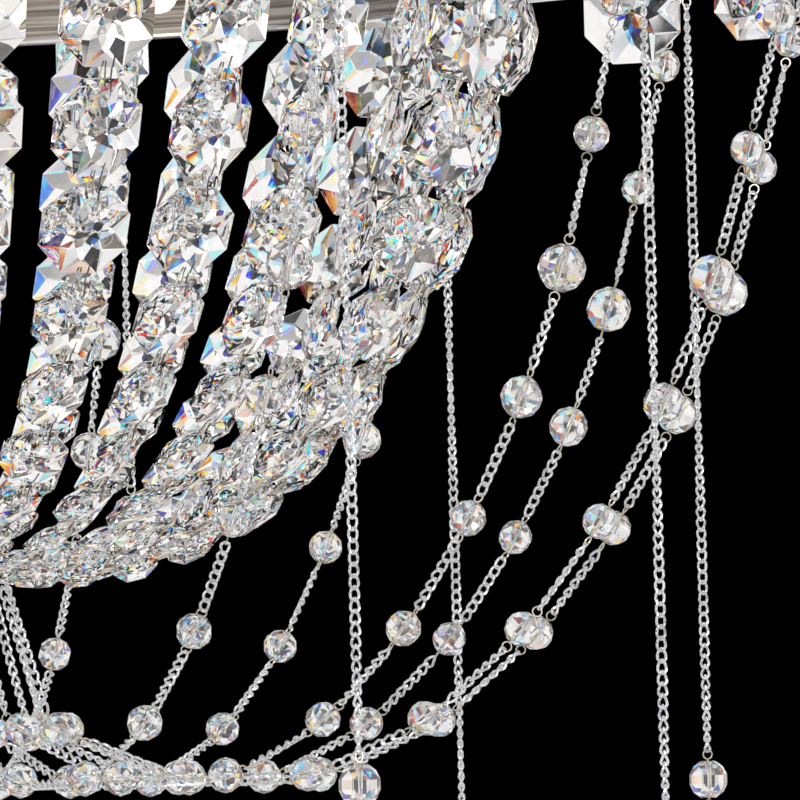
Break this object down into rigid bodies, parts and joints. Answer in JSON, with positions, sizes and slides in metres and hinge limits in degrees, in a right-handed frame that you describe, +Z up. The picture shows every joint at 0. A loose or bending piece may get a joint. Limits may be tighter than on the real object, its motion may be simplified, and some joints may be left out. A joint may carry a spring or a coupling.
{
  "type": "crystal chandelier",
  "caption": "Round hanging crystal chandelier: a ring frame with a basket of octagon crystal strands, beaded chain swags below it and long drop chains with end balls",
  "frame": {"origin": "centre of the top face of the ceiling bracket, on the ceiling", "axes": "+Z up along the stem; +X along the bracket and through one lug of the outer ring"},
  "size_m": [0.695, 0.695, 0.878],
  "materials": {
    "polished_chrome": "polished",
    "plated_steel": "zinc plated",
    "silver_chain": "bright plated",
    "pin_wire": "bright wire with a warm tint",
    "clear_crystal": "cut and polished, clear",
    "frosted_bulb": "frosted",
    "lamp_ceramic": "glazed"
  },
  "bodies": {
    "mounting": {"ceiling_bracket": "plated_steel", "threaded_nipple": "plated_steel", "lock_nut": "plated_steel", "ceiling_loop": "polished_chrome"},
    "canopy_cover": {"canopy": "polished_chrome", "canopy_collar": "polished_chrome"},
    "upper_link": {"suspension_link_upper": "polished_chrome"},
    "lower_link": {"suspension_link_lower": "polished_chrome"},
    "fixture": {"top_loop": "polished_chrome", "stem": "polished_chrome", "crown_plate": "polished_chrome", "stay_chains": "silver_chain", "stay_beads": "clear_crystal", "hub": "polished_chrome", "ring_arms": "polished_chrome", "lamp_sockets": "lamp_ceramic", "bulbs": "frosted_bulb", "outer_ring": "polished_chrome", "anchor_lugs": "polished_chrome", "rim_octagons": "clear_crystal", "rim_pins": "pin_wire", "basket_ring": "polished_chrome", "basket_octagons": "clear_crystal", "basket_pins": "pin_wire", "bottom_ring": "polished_chrome", "swag_chains": "silver_chain", "swag_beads": "clear_crystal"},
    "drop_01": {"drop_chain_01": "silver_chain", "drop_ball_01": "clear_crystal"},
    "drop_02": {"drop_chain_02": "silver_chain", "drop_ball_02": "clear_crystal"},
    "drop_03": {"drop_chain_03": "silver_chain", "drop_ball_03": "clear_crystal"},
    "drop_04": {"drop_chain_04": "silver_chain", "drop_ball_04": "clear_crystal"},
    "drop_05": {"drop_chain_05": "silver_chain", "drop_ball_05": "clear_crystal"},
    "drop_06": {"drop_chain_06": "silver_chain", "drop_ball_06": "clear_crystal"},
    "drop_07": {"drop_chain_07": "silver_chain", "drop_ball_07": "clear_crystal"},
    "drop_08": {"drop_chain_08": "silver_chain", "drop_ball_08": "clear_crystal"},
    "drop_09": {"drop_chain_09": "silver_chain", "drop_ball_09": "clear_crystal"},
    "drop_10": {"drop_chain_10": "silver_chain", "drop_ball_10": "clear_crystal"},
    "drop_11": {"drop_chain_11": "silver_chain", "drop_ball_11": "clear_crystal"},
    "drop_12": {"drop_chain_12": "silver_chain", "drop_ball_12": "clear_crystal"},
    "drop_13": {"drop_chain_13": "silver_chain", "drop_ball_13": "clear_crystal"},
    "drop_14": {"drop_chain_14": "silver_chain", "drop_ball_14": "clear_crystal"},
    "drop_15": {"drop_chain_15": "silver_chain", "drop_ball_15": "clear_crystal"},
    "drop_16": {"drop_chain_16": "silver_chain", "drop_ball_16": "clear_crystal"}
  },
  "joints": [
    {"name": "canopy_slide", "type": "slide", "parent": "mounting", "child": "canopy_cover", "axis": [0, 0, -1], "range_m": [0, 0.04]},
    {"name": "upper_link_swing", "type": "hinge", "parent": "mounting", "child": "upper_link", "pos_m": [0, 0, -0.0595], "axis": [1, 0, 0], "range_deg": [-8, 8]},
    {"name": "lower_link_swing", "type": "hinge", "parent": "upper_link", "child": "lower_link", "pos_m": [0, 0, -0.0865], "axis": [0, 1, 0], "range_deg": [-8, 8]},
    {"name": "fixture_swing", "type": "hinge", "parent": "lower_link", "child": "fixture", "pos_m": [0, 0, -0.1138], "axis": [1, 0, 0], "range_deg": [-8, 8]},
    {"name": "drop_01_sway", "type": "hinge", "parent": "fixture", "child": "drop_01", "pos_m": [0.341, 0, -0.5237], "axis": [1, 0, 0], "range_deg": [-10, 10]},
    {"name": "drop_02_sway", "type": "hinge", "parent": "fixture", "child": "drop_02", "pos_m": [0.31504, 0.13049, -0.5237], "axis": [0.9239, 0.3827, 0], "range_deg": [-10, 10]},
    {"name": "drop_03_sway", "type": "hinge", "parent": "fixture", "child": "drop_03", "pos_m": [0.24112, 0.24112, -0.5237], "axis": [0.7071, 0.7071, 0], "range_deg": [-10, 10]},
    {"name": "drop_04_sway", "type": "hinge", "parent": "fixture", "child": "drop_04", "pos_m": [0.13049, 0.31504, -0.5237], "axis": [0.3827, 0.9239, 0], "range_deg": [-10, 10]},
    {"name": "drop_05_sway", "type": "hinge", "parent": "fixture", "child": "drop_05", "pos_m": [0, 0.341, -0.5237], "axis": [0, 1, 0], "range_deg": [-10, 10]},
    {"name": "drop_06_sway", "type": "hinge", "parent": "fixture", "child": "drop_06", "pos_m": [-0.13049, 0.31504, -0.5237], "axis": [-0.3827, 0.9239, 0], "range_deg": [-10, 10]},
    {"name": "drop_07_sway", "type": "hinge", "parent": "fixture", "child": "drop_07", "pos_m": [-0.24112, 0.24112, -0.5237], "axis": [-0.7071, 0.7071, 0], "range_deg": [-10, 10]},
    {"name": "drop_08_sway", "type": "hinge", "parent": "fixture", "child": "drop_08", "pos_m": [-0.31504, 0.13049, -0.5237], "axis": [-0.9239, 0.3827, 0], "range_deg": [-10, 10]},
    {"name": "drop_09_sway", "type": "hinge", "parent": "fixture", "child": "drop_09", "pos_m": [-0.341, 0, -0.5237], "axis": [-1, 0, 0], "range_deg": [-10, 10]},
    {"name": "drop_10_sway", "type": "hinge", "parent": "fixture", "child": "drop_10", "pos_m": [-0.31504, -0.13049, -0.5237], "axis": [-0.9239, -0.3827, 0], "range_deg": [-10, 10]},
    {"name": "drop_11_sway", "type": "hinge", "parent": "fixture", "child": "drop_11", "pos_m": [-0.24112, -0.24112, -0.5237], "axis": [-0.7071, -0.7071, 0], "range_deg": [-10, 10]},
    {"name": "drop_12_sway", "type": "hinge", "parent": "fixture", "child": "drop_12", "pos_m": [-0.13049, -0.31504, -0.5237], "axis": [-0.3827, -0.9239, 0], "range_deg": [-10, 10]},
    {"name": "drop_13_sway", "type": "hinge", "parent": "fixture", "child": "drop_13", "pos_m": [0, -0.341, -0.5237], "axis": [0, -1, 0], "range_deg": [-10, 10]},
    {"name": "drop_14_sway", "type": "hinge", "parent": "fixture", "child": "drop_14", "pos_m": [0.13049, -0.31504, -0.5237], "axis": [0.3827, -0.9239, 0], "range_deg": [-10, 10]},
    {"name": "drop_15_sway", "type": "hinge", "parent": "fixture", "child": "drop_15", "pos_m": [0.24112, -0.24112, -0.5237], "axis": [0.7071, -0.7071, 0], "range_deg": [-10, 10]},
    {"name": "drop_16_sway", "type": "hinge", "parent": "fixture", "child": "drop_16", "pos_m": [0.31504, -0.13049, -0.5237], "axis": [0.9239, -0.3827, 0], "range_deg": [-10, 10]}
  ]
}
